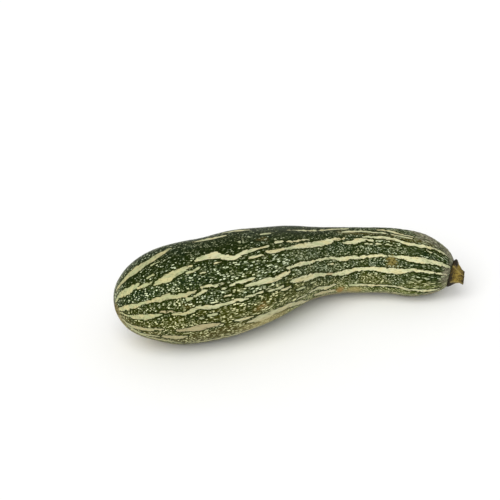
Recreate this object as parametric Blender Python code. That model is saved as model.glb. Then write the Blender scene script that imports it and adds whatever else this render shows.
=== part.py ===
"""A necked zucchini, as picked: one fruit lying on its belly, and the cut stub of its stem.

Metres, +Z up. +X runs from the blossom end to the stem, +Y is the way the neck bends. The origin is under the
middle of the part's box, on the surface that it lies on.
"""

import math

import bmesh
import bpy
import numpy as np
from mathutils import Matrix, Vector

MM = 0.001

# The fruit, in mm, at stations along X from the blossom end: distance, radius of the round section, how far
# the middle is bent towards +Y, height of the underside. Below zero is where the belly presses flat.
FRUIT_STATIONS = (
    (0.0, 33.0, -52.0, 2.0),
    (30.0, 37.0, -37.5, -0.8),
    (60.0, 37.0, -27.0, -1.3),
    (90.0, 36.0, -12.5, 0.2),
    (120.0, 30.5, 10.5, 1.6),
    (150.0, 25.5, 25.5, 2.2),
    (180.0, 24.5, 31.5, 0.6),
    (210.0, 25.0, 29.5, -1.3),
    (241.0, 26.0, 21.0, -5.5),
)
BLOSSOM_CAP_LENGTH = 61.0
BLOSSOM_CAP_POWER = 2.5
STEM_CAP_LENGTH = 30.0
STEM_CAP_POWER = 1.5
SEAT_RADIUS = 9.0

# Ten shallow ribs, which all but vanish on the bulb and show as furrows on the shoulder under the stem.
RIB_COUNT = 10
RIB_TURN = 0.35
RIB_HEIGHT_BODY = 0.12
RIB_HEIGHT_SHOULDER = 0.55
RIB_FADE = 45.0

# Slow unevenness of a thing that grew: height, waves along the length, waves round, phase.
UNEVENNESS = (
    (0.25, 2.6, 2, 0.4),
    (0.18, 4.3, 3, 2.1),
    (0.12, 6.7, 1, 4.0),
)

# The round scar that the flower left: a low rim about a shallow hollow.
SCAR_RADIUS = 4.2
SCAR_RIM_HEIGHT = 0.5
SCAR_RIM_WIDTH = 1.5

FRUIT_SIDES = 84
FRUIT_RINGS = 52
RING_CROWDING = 0.75

# The stem stub, in mm: height above the seat, radius, depth of the five angles as a share of the radius.
STUB_STATIONS = (
    (0.3, 8.8, 0.10),
    (1.4, 9.4, 0.12),
    (2.8, 8.3, 0.15),
    (4.4, 6.7, 0.16),
    (6.2, 5.7, 0.14),
    (8.2, 5.1, 0.12),
    (9.9, 5.2, 0.13),
)
STUB_ANGLES = 5
STUB_CUT_TILT = 0.16
STUB_SAG = 0.9
PITH_RADIUS = 3.0
PITH_DEPTH = 0.8
STUB_SIDES = 60
STUB_RINGS = 22

SKIN_COLOUR = (0.105, 0.135, 0.045, 1.0)
SKIN_ROUGHNESS = 0.5
STUB_COLOUR = (0.16, 0.11, 0.03, 1.0)
STUB_ROUGHNESS = 0.75


def clear_scene():
    for thing in list(bpy.data.objects):
        bpy.data.objects.remove(thing, do_unlink=True)


def natural_spline(knots, values):
    """The smooth curve through the values at the knots, straight at both ends, as a function."""
    knots = np.asarray(knots, float)
    values = np.asarray(values, float)
    steps = np.diff(knots)
    rises = np.diff(values) / steps
    system = np.eye(len(knots))
    bends = np.zeros(len(knots))
    for i in range(1, len(knots) - 1):
        system[i, i - 1 : i + 2] = steps[i - 1], 2 * (steps[i - 1] + steps[i]), steps[i]
        bends[i] = 6 * (rises[i] - rises[i - 1])
    bends = np.linalg.solve(system, bends)

    def value(distance):
        distance = np.asarray(distance, float)
        i = np.clip(np.searchsorted(knots, distance) - 1, 0, len(steps) - 1)
        before = (knots[i + 1] - distance) / steps[i]
        after = 1 - before
        curve = (before**3 - before) * bends[i] + (after**3 - after) * bends[i + 1]
        return before * values[i] + after * values[i + 1] + curve * steps[i] ** 2 / 6

    return value


STATION_X, STATION_RADIUS, STATION_BEND, STATION_UNDERSIDE = zip(*FRUIT_STATIONS)
LENGTH = STATION_X[-1]
section_radius = natural_spline(STATION_X, STATION_RADIUS)
bend = natural_spline(STATION_X, STATION_BEND)
underside = natural_spline(STATION_X, STATION_UNDERSIDE)


def fruit_middle(x):
    return np.stack([x, bend(x), underside(x) + section_radius(x)], axis=-1)


def fruit_frame(x):
    """Unit vectors along the fruit, to its +Y side and up, at each distance x."""
    reach = 0.5
    ahead = fruit_middle(x + reach) - fruit_middle(x - reach)
    ahead /= np.linalg.norm(ahead, axis=-1, keepdims=True)
    side = np.cross((0.0, 0.0, 1.0), ahead)
    side /= np.linalg.norm(side, axis=-1, keepdims=True)
    return ahead, side, np.cross(ahead, side)


def cap_share(distance, length, power):
    """The share of the full radius at a distance from the tip of a rounded end: from 0 to 1."""
    inward = np.clip(1 - distance / length, 0, 1)
    return (1 - inward**power) ** (1 / power)


def fruit_radius(x):
    radius = section_radius(x) * cap_share(x, BLOSSOM_CAP_LENGTH, BLOSSOM_CAP_POWER)
    shoulder = cap_share(LENGTH - x, STEM_CAP_LENGTH, STEM_CAP_POWER)
    return np.where(x > LENGTH / 2, SEAT_RADIUS + (radius - SEAT_RADIUS) * shoulder, radius)


def relief(x, radius, angle):
    """How far the skin stands out of the round section, in mm: nothing at either pole."""
    off_pole = np.clip(radius / SEAT_RADIUS - 1, 0, 1)
    near_stem = np.exp(-(LENGTH - x) / RIB_FADE)
    rib = RIB_HEIGHT_BODY + (RIB_HEIGHT_SHOULDER - RIB_HEIGHT_BODY) * near_stem
    height = rib * np.cos(RIB_COUNT * angle + RIB_TURN)
    for rise, along, about, phase in UNEVENNESS:
        height = height + rise * np.sin(math.tau * along * x / LENGTH + about * angle + phase)
    return height * off_pole


def scar(radius, x):
    """How far the blossom scar's rim stands out along the fruit, in mm."""
    rim = np.exp(-(((radius - SCAR_RADIUS) / SCAR_RIM_WIDTH) ** 2))
    return np.where(x < LENGTH / 2, SCAR_RIM_HEIGHT * rim, 0.0)


def fruit_rings():
    """Distance and radius of each ring from the blossom pole to the seat, closer at both ends."""
    sweep = (1 - np.cos(np.linspace(0, math.pi, 2000))) / 2
    x = np.append(LENGTH * sweep, np.full(200, LENGTH))
    radius = np.append(fruit_radius(LENGTH * sweep), np.linspace(SEAT_RADIUS, 0, 200))
    run = np.append(0, np.cumsum(np.hypot(np.diff(x), np.diff(radius))))
    even = np.linspace(0, 1, FRUIT_RINGS + 1)
    crowded = (1 - np.cos(math.pi * even)) / 2
    wanted = run[-1] * (RING_CROWDING * crowded + (1 - RING_CROWDING) * even)
    return np.interp(wanted, run, x), np.interp(wanted, run, radius)


def warped_sphere(name, sides, rings, place):
    """A mesh object made from a sphere, each of whose points moves to place(ring, angle)."""
    mesh = bpy.data.meshes.new(name)
    shape = bmesh.new()
    bmesh.ops.create_uvsphere(shape, u_segments=sides, v_segments=rings, radius=1.0)
    points = np.array([vertex.co for vertex in shape.verts])
    ring = np.rint(np.arccos(np.clip(-points[:, 2], -1, 1)) / math.pi * rings).astype(int)
    angle = np.arctan2(points[:, 1], points[:, 0])
    for vertex, point in zip(shape.verts, place(ring, angle) * MM):
        vertex.co = Vector(point)
    bmesh.ops.recalc_face_normals(shape, faces=shape.faces)
    shape.to_mesh(mesh)
    shape.free()
    mesh.shade_smooth()
    thing = bpy.data.objects.new(name, mesh)
    bpy.context.scene.collection.objects.link(thing)
    return thing


def plain_material(name, colour, roughness):
    material = bpy.data.materials.new(name)
    material.use_nodes = True
    surface = material.node_tree.nodes["Principled BSDF"]
    surface.inputs["Base Color"].default_value = colour
    surface.inputs["Roughness"].default_value = roughness
    surface.inputs["Metallic"].default_value = 0.0
    return material


def make_fruit():
    ring_x, ring_radius = fruit_rings()

    def place(ring, angle):
        x = ring_x[ring]
        radius = ring_radius[ring]
        ahead, side, up = fruit_frame(x)
        out = side * np.cos(angle)[:, None] + up * np.sin(angle)[:, None]
        spread = radius + relief(x, radius, angle)
        points = fruit_middle(x) + out * spread[:, None] - ahead * scar(radius, x)[:, None]
        points[:, 2] = np.maximum(points[:, 2], 0.0)
        return points

    fruit = warped_sphere("fruit", FRUIT_SIDES, FRUIT_RINGS, place)
    fruit.data.materials.append(plain_material("striped green skin", SKIN_COLOUR, SKIN_ROUGHNESS))
    return fruit


def stub_rings():
    """Height, radius and angle depth of each ring, from the middle of the foot to that of the cut."""
    heights, radii, depths = zip(*STUB_STATIONS)
    radius_at = natural_spline(heights, radii)
    depth_at = natural_spline(heights, depths)
    wall = np.linspace(heights[0], heights[-1], 400)
    foot = np.linspace(0, 1, 60)
    cut = np.linspace(1, 0, 60)
    height = np.concatenate([np.full(60, heights[0]), wall, np.full(60, heights[-1])])
    radius = np.concatenate([foot * radii[0], radius_at(wall), cut * radii[-1]])
    depth = np.concatenate([foot * depths[0], depth_at(wall), cut * depths[-1]])
    run = np.append(0, np.cumsum(np.hypot(np.diff(height), np.diff(radius))))
    wanted = np.linspace(0, run[-1], STUB_RINGS + 1)
    return [np.interp(wanted, run, values) for values in (height, radius, depth)]


def make_peduncle():
    """The stub, built standing on its foot; it is placed on the seat afterwards."""
    ring_height, ring_radius, ring_depth = stub_rings()
    top = ring_height[-1]

    def place(ring, angle):
        height = ring_height[ring]
        ridge = np.cos(STUB_ANGLES * (angle - math.pi / 2))
        radius = ring_radius[ring] * (1 + ring_depth[ring] * ridge)
        rise = (height / top) ** 2
        x = radius * np.cos(angle)
        y = radius * np.sin(angle) - STUB_SAG * rise
        hollow = PITH_DEPTH * np.clip(1 - radius / PITH_RADIUS, 0, 1) * (height > top - 0.01)
        z = height - STUB_CUT_TILT * y * rise - hollow
        return np.stack([x, y, z], axis=-1)

    stub = warped_sphere("peduncle", STUB_SIDES, STUB_RINGS, place)
    stub.data.materials.append(plain_material("woody stem", STUB_COLOUR, STUB_ROUGHNESS))
    ahead, side, up = (Vector(axis) for axis in fruit_frame(np.array(LENGTH)))
    seat = Vector(fruit_middle(np.array(LENGTH))) * MM
    stub.matrix_world = Matrix.Translation(seat) @ Matrix((side, up, ahead)).transposed().to_4x4()
    return stub


def stand_on_origin(pieces):
    """Parents the pieces to an empty that brings the middle of their box over the origin."""
    root = bpy.data.objects.new("zucchini", None)
    bpy.context.scene.collection.objects.link(root)
    corners = [piece.matrix_world @ vertex.co for piece in pieces for vertex in piece.data.vertices]
    middle = [(min(c[i] for c in corners) + max(c[i] for c in corners)) / 2 for i in range(2)]
    for piece in pieces:
        piece.parent = root
    root.location = (-middle[0], -middle[1], 0.0)


def main():
    clear_scene()
    stand_on_origin([make_fruit(), make_peduncle()])


main()
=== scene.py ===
"""Looks of the necked zucchini: its speckled and striped skin, its woody stem stub, and a plain studio.

The shape repeats the construction's own sizes and is set inside its box. Lengths are in mm, unless they are
named otherwise, and MM turns them into metres.
"""

import functools
import math

import bmesh
import bpy
import numpy as np
from bpy.props import FloatProperty, FloatVectorProperty, IntProperty, PointerProperty
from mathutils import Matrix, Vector, noise


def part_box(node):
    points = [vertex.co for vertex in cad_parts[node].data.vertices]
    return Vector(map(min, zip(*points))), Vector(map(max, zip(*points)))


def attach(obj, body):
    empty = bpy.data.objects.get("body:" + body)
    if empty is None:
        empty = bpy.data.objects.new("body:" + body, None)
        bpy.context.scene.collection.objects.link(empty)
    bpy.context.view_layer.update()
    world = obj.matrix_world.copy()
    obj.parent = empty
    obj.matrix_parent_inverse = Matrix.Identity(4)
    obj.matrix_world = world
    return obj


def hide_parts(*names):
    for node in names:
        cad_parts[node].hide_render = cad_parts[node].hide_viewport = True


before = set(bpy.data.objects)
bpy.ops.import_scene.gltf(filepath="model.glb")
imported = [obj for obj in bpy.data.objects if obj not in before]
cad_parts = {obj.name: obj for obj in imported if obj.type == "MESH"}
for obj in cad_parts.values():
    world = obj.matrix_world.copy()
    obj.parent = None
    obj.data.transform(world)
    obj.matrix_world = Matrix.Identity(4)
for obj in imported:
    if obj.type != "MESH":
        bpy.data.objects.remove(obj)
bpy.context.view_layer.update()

bl_info = {
    "name": "Necked zucchini",
    "version": (1, 0, 0),
    "blender": (4, 5, 0),
    "location": "3D View > Sidebar > Zucchini",
    "description": "Builds the finished skin and stem stub of a necked zucchini, and a plain studio",
    "category": "Add Mesh",
}

MM = 0.001

# The fruit along X from the blossom end: distance, radius, bend towards +Y, height of the underside. Radii,
# caps, and bends to within 0.5 mm, come from a separate script's fit to the outline in the photograph. The
# underside was then moved.
FRUIT_STATIONS = (
    (0.0, 33.0, -52.0, 2.0),
    (30.0, 37.0, -37.5, -0.8),
    (60.0, 37.0, -27.0, -1.3),
    (90.0, 36.0, -12.5, 0.2),
    (120.0, 30.5, 10.5, 1.6),
    (150.0, 25.5, 25.5, 2.2),
    (180.0, 24.5, 31.5, 0.6),
    (210.0, 25.0, 29.5, -1.3),
    (241.0, 26.0, 21.0, -5.5),
)
BLOSSOM_CAP_LENGTH = 61.0
BLOSSOM_CAP_POWER = 2.5
STEM_CAP_LENGTH = 30.0
STEM_CAP_POWER = 1.5
# The stem's flat seat, and the round scar with its raised rim at the blossom end.
SEAT_RADIUS = 9.0
SCAR_RADIUS = 4.2
SCAR_RIM_HEIGHT = 0.5
SCAR_RIM_WIDTH = 1.5
# Faint ribs, highest at the stem, and slow swells: rise, waves along the fruit, waves round it, phase.
RIB_COUNT = 10
RIB_TURN = 0.35
RIB_HEIGHT_BODY = 0.12
RIB_HEIGHT_SHOULDER = 0.55
RIB_FADE = 45.0
UNEVENNESS = ((0.25, 2.6, 2, 0.4), (0.18, 4.3, 3, 2.1), (0.12, 6.7, 1, 4.0))

# The stripes that face the front: warmth from cream to pinkish tan, then points along the stripe's middle:
# distance along the skin from the blossom end in mm, angle round the fruit in degrees, width in mm.
# 90 degrees is the top, 180 the front, 270 the belly. The lines were read off the photograph by eye, put onto
# the skin by a separate script, and then reshaped by hand.
STRIPES = (
    (0.4, (14, 66, 1.6), (18, 76, 2.4), (24, 82, 3.4), (32, 87, 6.4), (40, 89, 5), (50, 86, 4.4),
     (57, 80, 2)),
    (0.1, (6, 70, 1.6), (9, 88, 2.6), (13, 100, 3.8), (18, 110, 4.8), (23, 114, 4.4), (30, 114, 1.4)),
    (0, (28, 121, 1.2), (33, 122, 2.8), (37, 123, 1.2)),
    (0.1, (39, 126, 1.6), (43, 126, 4.6), (48, 125, 6.2), (54, 122, 5), (60, 120, 3.4), (65, 118, 1.2)),
    (0, (61, 125, 1.2), (65, 124, 2.2), (69, 123, 2), (71, 121, 1.2)),
    (0.2, (69, 112, 2), (76, 110, 4.4), (85, 109, 5), (91, 115, 3.8), (94, 118, 2.8), (100, 115, 2.4),
     (115, 114, 1.4)),
    (0.1, (112, 121, 1.4), (117, 123, 3), (124, 123, 2), (130, 124, 2.8), (137, 124, 4.2), (145, 122, 4.2),
     (153, 120, 4.8), (160, 118, 4.4), (164, 115, 3.6), (168, 112, 2.2), (177, 110, 1.4)),
    (0.3, (175, 118, 1.4), (181, 118, 2.8), (186, 115, 3.8), (190, 112, 3.4), (196, 110, 1.4)),
    (0.2, (3, 150, 2), (9, 150, 3.2), (17, 148, 3.2), (29, 147, 1.4)),
    (0.4, (29, 148, 1.2), (37, 148, 2.8), (44, 147, 3.8), (51, 149, 3.2), (57, 149, 2.6), (65, 146, 1.2)),
    (0.1, (58, 155, 1.8), (65, 151, 2.4), (72, 147, 1.4)),
    (0.1, (69, 143, 1.5), (84, 144, 1.7)),
    (0.1, (83, 149, 1.2), (91, 146, 2), (100, 146, 2.2)),
    (0.2, (96, 152, 1.4), (104, 153, 3.8), (111, 154, 3.6), (120, 152, 2)),
    (0, (119, 147, 1.6), (130, 147, 2.8), (138, 148, 2.5), (144, 147, 1.5)),
    (0, (146, 146, 1.6), (155, 145, 2), (164, 145, 2.2), (173, 147, 3.2), (180, 144, 2.4),
     (188, 145, 2.2), (199, 141, 2), (213, 140, 1.8), (226, 140, 2.2), (233, 140, 3.4), (242, 138, 3.8),
     (253, 134, 3), (264, 126, 1.4)),
    (0, (120, 164, 2), (130, 166, 3.8), (138, 167, 4), (148, 167, 3), (155, 169, 1.8)),
    (0.9, (155, 169, 1.2), (159, 169, 1.6), (163, 170, 1.2)),
    (0, (163, 172, 1.6), (169, 171, 3.4), (175, 170, 3.8), (182, 167, 3.4), (190, 164, 2.6),
     (200, 164, 2.6), (208, 165, 3), (216, 166, 4), (224, 165, 3.6), (230, 162, 3.2), (237, 158, 2.2),
     (246, 157, 2), (263, 157, 1)),
    (0.3, (6, 172, 1.2), (14, 174, 1.6), (26, 172, 4.6), (38, 169, 1.6)),
    (0.8, (38, 165, 1), (44, 166, 1.5), (50, 168, 1.4)),
    (0.3, (46, 169, 1.6), (56, 170, 2.6), (66, 165, 2.7), (75, 167, 3.4), (84, 166, 2), (92, 165, 1.6)),
    (0.8, (49, 194, 2), (58, 193, 4), (66, 191, 5.4), (73, 190, 4.6), (79, 190, 1.8)),
    (0.6, (9, 215, 2), (20, 203, 3.4), (38, 193, 2)),
    (0.5, (18, 224, 3), (27, 216, 3), (36, 210, 2)),
    (0.7, (39, 209, 2), (45, 208, 4.8), (52, 207, 4.6), (58, 205, 2)),
    (0.5, (96, 199, 2), (102, 199, 7.4), (107, 200, 7.8), (112, 198, 5), (122, 199, 4.8), (130, 203, 4),
     (139, 211, 3), (147, 221, 1.8)),
    (0.3, (139, 192, 1.8), (147, 190, 2.6), (153, 193, 3), (160, 196, 3.6), (167, 193, 1.6)),
    (0.5, (148, 204, 2.4), (158, 207, 3.6), (168, 209, 2.6)),
    (0, (182, 199, 2), (187, 199, 2.2), (200, 198, 1.6), (213, 197, 1.8), (227, 198, 1.8),
     (239, 201, 2.2), (251, 208, 2.4), (259, 210, 1.6)),
    (0.2, (193, 105, 1.4), (207, 104, 2.3), (218, 107, 2.9), (227, 113, 2.4), (237, 113, 2.2),
     (246, 107, 2), (253, 102, 1.7), (261, 99, 1.1)),
    (0, (136, 90, 1.2), (147, 92, 2), (155, 90, 2), (163, 86, 1.8), (171, 81, 1.8), (184, 78, 1.6)),
    (0.2, (178, 92, 1.4), (184, 89, 2.6), (190, 87, 2.4), (196, 88, 2), (202, 90, 2.4), (208, 91, 1.8),
     (216, 94, 1.4), (224, 98, 1.3), (231, 100, 1)),
    (0.3, (206, 80, 1.6), (214, 83, 2), (223, 89, 1.9), (231, 93, 1.5)),
    (0.3, (74, 78, 1.4), (88, 78, 3.4), (98, 79, 1.8)),
    (0.3, (100, 69, 1.8), (108, 72, 3.6), (115, 76, 1.6)),
)
# Short dashes beside the stripes: distance, angle, length, width. Eight of them began as the stripes did.
DASHES = (
    (38, 113, 5, 1.4), (44, 98, 5, 1.5), (122, 112, 4, 2.5), (129, 114, 3, 1.3), (134, 115, 3, 1.1),
    (139, 114, 4, 1.5), (144, 113, 3, 1.3), (119, 93, 5, 2.0), (242, 94, 3, 1.4), (107, 123, 4, 1.6),
    (93, 166, 4, 1.5), (99, 164, 9, 1.3), (111, 166, 8, 1.3), (117, 170, 7, 1.3), (75, 176, 6, 1.3),
    (128, 178, 7, 1.4), (140, 176, 5, 1.3), (160, 154, 5, 1.2), (93, 191, 9, 1.6), (79, 192, 4, 1.2),
    (66, 178, 5, 1.3), (197, 119, 6, 1.5), (206, 118, 4, 1.3), (214, 119, 6, 1.3), (199, 112, 4, 1.2),
    (244, 117, 4, 1.2), (131, 194, 8, 1.8), (72, 128, 4, 1.3), (104, 123, 4, 1.6), (84, 119, 5, 1.1),
    (85, 158, 3, 1.4),
)
DASH_WARMTH = 0.2
# Points further along than this from a stretch of stripe aren't compared with it.
STRIPE_REACH = 12.0

# Angles of the lanes that stripes follow round the back and the belly.
HIDDEN_LANES = (222, 240, 258, 277, 296, 314, 333, 351, 9, 26, 42)
HIDDEN_SEED = 11

# Blemishes: distance along the skin, angle, reach along, reach across, in mm and degrees.
CALLUS = (217.5, 148.5, 5, 4.3)
ORANGE_SCAR = (174, 211, 4.2, 5.5)
RUST_SPOT = (102, 182, 6, 5.5)
RUST_STRENGTH = 0.48
BELLY_SPOT = (80, 270, 110, 19)
PALE_PATCH = (187, 212, 9, 5.5)
WAIST_PATCH = (108, 212, 24, 9)
WAIST_PALENESS = 0.7
BROWN_PATCHES = (
    (102, 181, 5, 4.5), (114, 102, 5, 3), (84, 204, 26, 6), (33, 204, 5, 3.5), (56, 217, 30, 7),
    (116, 212, 14, 5), (188, 211, 14, 4), (226, 102, 26, 5), (186, 92, 14, 3), (221, 157, 10, 2),
    (59, 161, 6, 3.5), (12, 212, 10, 9),
)
TEAL_PATCHES = (
    (25, 134, 13, 6), (204, 153, 7, 3), (234, 150, 8, 3.2), (244, 127, 12, 5), (62, 134, 22, 7),
    (172, 128, 18, 5),
)
# Where the speckles crowd (above zero) or thin out: the blemish's four values, then how much.
CROWDS = (
    (12, 160, 14, 22, -0.5), (45, 182, 9, 6, -0.8), (78, 170, 18, 4, -0.6), (30, 158, 14, 5, -0.7),
    (85, 158, 8, 4, -0.5), (85, 123, 8, 4, -0.6), (25, 98, 8, 5, -0.9), (195, 98, 14, 4, -0.6),
    (225, 133, 9, 4, -0.9), (206, 156, 6, 3, -1), (185, 178, 9, 4, -0.8), (125, 156, 12, 5, 0.6),
    (125, 140, 18, 4, 0.5), (152, 153, 16, 5, 0.6), (128, 178, 14, 5, 0.4), (106, 118, 9, 4, 0.5),
    (128, 193, 9, 4, 0.7), (238, 170, 12, 5, 0.5), (110, 210, 22, 7, 0.9),
)
# The grey film, in lanes towards the stem: where each starts along the skin, its middle angle and its spread
# in degrees. The lane at 236 degrees, along the lower edge of the neck from 150 mm on, is partly real film
# and partly a painted reflection. From FILM_START on it goes all round. It thickens over the length of its
# growth.
FILM_AND_REFLECTION_LANES = ((222, 76, 30), (230, 228, 30), (236, 20, 40), (236, 300, 40), (150, 236, 20))
FILM_START = 250.0
FILM_AND_REFLECTION_GROWTH = 14.0

# Painted shade, which makes the upper side the darkest green: above this share of the radius, from start to
# end, each with the stretch it sets in over.
TOP_SHADE_RISE = 0.80
TOP_SHADE_RISE_GROWTH = 0.19
TOP_SHADE_START = 12
TOP_SHADE_START_GROWTH = 14
TOP_SHADE_END = 225
TOP_SHADE_END_GROWTH = 70

# Furrows and film are drawn on a tube of this radius, to run straight along the skin.
LANE_RADIUS = 26.0
# Relief of the skin: how wide each kind of bump is, and how high. Furrows and knobs fade away from the stem.
SHOULDER_FADE = 24.0
FURROW_WIDTH = 2.6
FURROW_SHORTENING = 0.12
FURROW_HEIGHT = 0.42
KNOB_WIDTH = 3.2
KNOB_HEIGHT_SHOULDER = 0.62
KNOB_HEIGHT_BODY = 0.07
DIMPLE_WIDTH = 13.0
DIMPLE_HEIGHT = 0.16
STRIPE_DEPTH = 0.10
STRIPE_SLOPE = 0.8
WART_HEIGHT = 0.65
WART_GRAIN = 1.7
WART_ROUGHNESS = 0.4
ORANGE_SCAR_HEIGHT = 0.25
# Nearer to the axis than this, the skin's inset goes down to nothing.
POLE_RADIUS = 6

# Where the looks change, along the skin: from the first value to the second.
NECK_RUN = (105, 160)
PAST_BULB_RUN = (95, 140)
SHOULDER_RUN = (222, 245)
BRIGHT_STRIPE_RUN = (52, 84)
BLOSSOM_CORK_RUN = (4.2, 2.4)

# Sizes of the skin's patterns, in mm.
DRIFT_SIZE = 24
PATCH_SIZE = 10
HAZE_SIZE = 0.9
LONG_FLECK_SIZE = 3.6
RAGGED_SIZE = 2.2
TONE_SIZE = 4.5
VEIN_SIZE = 1.0
FILM_AND_REFLECTION_SIZE = 1.1
TEAR_SIZE = 0.7
CORK_SIZE = 1.5
# Real pores are too fine to show, so the skin's grain is drawn this coarse.
GRAIN_SIZE = 1.2
GRAIN_HEIGHT = 0.25

# The stem stub: height above the seat, radius, depth of the five angles as a share of the radius.
STUB_STATIONS = (
    (0.3, 8.8, 0.10),
    (1.4, 9.4, 0.12),
    (2.8, 8.3, 0.15),
    (4.4, 6.7, 0.16),
    (6.2, 5.7, 0.14),
    (8.2, 4.9, 0.12),
    (10.1, 4.7, 0.13),
)
# How strong each of the five angles is, where the first one lies, and how far they twist up to the cut.
STUB_ANGLES = 5
STUB_RIDGES = (1.15, 0.9, 1.1, 0.8, 1.0)
STUB_TURN = math.radians(118)
STUB_TWIST = math.radians(10)
# The cut's slopes upward and sideways, how far the cut end sags, and the hollow of the pith.
STUB_CUT_TILT = 0.07
STUB_CUT_SLANT = 0.17
STUB_SAG = 2.4
PITH_RADIUS = 3.0
PITH_DEPTH = 0.8
# The middle of the seat.
STUB_PLACE = (116.8, 27.3, 21.3)
# Painted light on the middle of the sides, which makes them more golden there: its height and how far it
# reaches.
LIT_BAND_HEIGHT = 5.2
LIT_BAND_REACH = 2.6
# Corky knobs on the foot, and one near the cut: angle, then height, reach and rise in mm.
STUB_KNOBS = (
    (70, 1.9, 2.6, 1.5), (234, 1.0, 4.2, 2.5), (205, 1.4, 2.4, 0.6), (238, 9.2, 2.4, 0.9),
    (182, 1.0, 2.2, 0.5), (330, 1.5, 2.4, 0.9), (20, 1.2, 2.2, 0.8),
)
KNOB_FLATTENING = 0.7
# How far a knob on the foot creeps down over the seat, as a share of its rise.
STUB_CREEP = 0.6
# Relief of the stub: fibres drawn on a tube, lumps that grow towards the foot, and the grain of the cut.
# Fibres and lumps fade towards the middle of both ends, and are half as high at this radius.
STUB_WALL_RADIUS = 4
STUB_GRAIN_RADIUS = 6
STUB_GRAIN_SHORTENING = 0.25
STUB_GRAIN_WIDTH = 0.9
STUB_GRAIN_HEIGHT = 0.16
STUB_LUMP_WIDTH = 2.4
STUB_LUMP_HEIGHT = 0.22
STUB_LUMP_HEIGHT_FOOT = 0.45
FOOT_HEIGHT = 3.2
CUT_GRAIN_WIDTH = 1.1
CUT_GRAIN_HEIGHT = 0.22
MOTTLE_SIZE = 2.2
# Real stem fibres are too fine to show, so they are drawn this coarse.
FIBRE_SIZE = 0.6
FIBRE_HEIGHT = 0.3

# The studio, in metres unless named otherwise.
CAMERA_TARGET_MM = (-31.8, 0.0, 56.5)
SENSOR_WIDTH_MM = 36.0
NEAREST_SEEN = 0.01
FLOOR_REACH = 6.0
LAMP_PLACE = (-0.5, -1.2, 1.5)
LAMP_STRENGTH = 2.1
LAMP_WIDTH = math.radians(60)
ROOM_STRENGTH = 0.58


def linear(hexadecimal):
    """An sRGB hex colour as the four linear values that a shader takes."""
    parts = [int(hexadecimal[i : i + 2], 16) / 255 for i in (1, 3, 5)]
    return (*(part / 12.92 if part <= 0.04045 else ((part + 0.055) / 1.055) ** 2.4 for part in parts), 1)


def colour(name, description, hexadecimal):
    return FloatVectorProperty(
        name=name, description=description, default=linear(hexadecimal), subtype="COLOR", size=4, min=0, max=1
    )


def length_property(name, description, millimetres):
    return FloatProperty(name=name, description=description, default=millimetres * MM, unit="LENGTH", min=0)


def angle_property(name, description, degrees):
    return FloatProperty(name=name, description=description, default=math.radians(degrees), subtype="ANGLE")


class SkinLook(bpy.types.PropertyGroup):
    """Sizes and colours of the skin."""

    sides: IntProperty(name="Sides", description="Points round the fruit", default=360, min=24)
    rings: IntProperty(name="Rings", description="Rings along the fruit", default=272, min=24)
    inset: length_property("Inset", "Room left for the bumps inside the solid", 0.3)
    speckle_spacing: length_property("Speckle spacing", "Distance between pale speckles on the bulb", 1.08)
    neck_spacing: length_property("Neck speckle spacing", "Distance between pale speckles on the neck", 0.82)
    deep_green: colour("Deep green", "Ground colour of the upper side", "#0f1c01")
    olive_green: colour("Olive green", "Ground colour of the lower side", "#323203")
    outline: colour("Outline", "The dark rim round each stripe", "#1d2604")
    teal_green: colour("Teal green", "Ground colour of the darkest patches", "#0a1d0e")
    haze: colour("Haze", "The lighter green that clouds the ground", "#56652a")
    speckle: colour("Speckle", "The pale speckles", "#ecebb2")
    speckle_cool: colour("Cool speckle", "The speckles of the darkest patches", "#dbe6c0")
    speckle_dim: colour("Dim speckle", "The faint speckles, still green", "#7f8a4e")
    stripe: colour("Stripe", "The cream stripes of the bulb", "#aaad80")
    neck_stripe: colour("Neck stripe", "The brighter stripes of the neck", "#cecda4")
    fresh: colour("Fresh stripe", "The greener lengths of a stripe", "#a7b083")
    straw: colour("Straw stripe", "The yellower lengths of a stripe", "#c9bf8b")
    tan: colour("Tan", "The stripes that turn pinkish tan", "#ada27b")
    bloom_and_reflection: colour("Bloom", "The grey-tan corky film on the shoulder", "#968f7b")
    # Besides the real film, this colour is a painted reflection along the lower edge of the neck.
    ground_spot: colour("Ground spot", "The pale belly, where the fruit lay on soil", "#a39660")
    brown: colour("Brown", "Browned, dry patches", "#453b15")
    scar: colour("Scar", "The small orange scar", "#9a7a45")
    callus: colour("Callus", "The raised corky spot and the blossom scar", "#857a44")


class StemLook(bpy.types.PropertyGroup):
    """Sizes and colours of the stem stub."""

    sides: IntProperty(name="Sides", description="Points round the stub", default=160, min=20)
    rings: IntProperty(name="Rings", description="Rings along the stub", default=110, min=12)
    wood: colour("Wood", "The golden olive sides", "#8b7733")
    shade: colour("Shade", "The dark fibres between the angles", "#382b0f")
    # The pale crests are a painted highlight; the cut's pale fibres take the same colour.
    pale_and_highlight: colour("Crest", "The pale crests of the angles", "#a18f50")
    cork: colour("Cork", "The blackened lobes of the foot and the rim of the cut", "#241d0f")


class StudioLook(bpy.types.PropertyGroup):
    """The camera, the floor and the light."""

    azimuth: angle_property("Azimuth", "Turn of the camera", 0.5)
    elevation: angle_property("Elevation", "Height of the camera's line of sight", 31.3)
    distance: length_property("Distance", "From the camera to what it looks at", 1160)
    lens: FloatProperty(name="Lens", description="Focal length in mm on a 36 mm sensor", default=116.7, min=1)
    floor: colour("Floor", "The plain pale floor", "#fbfbfa")


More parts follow.
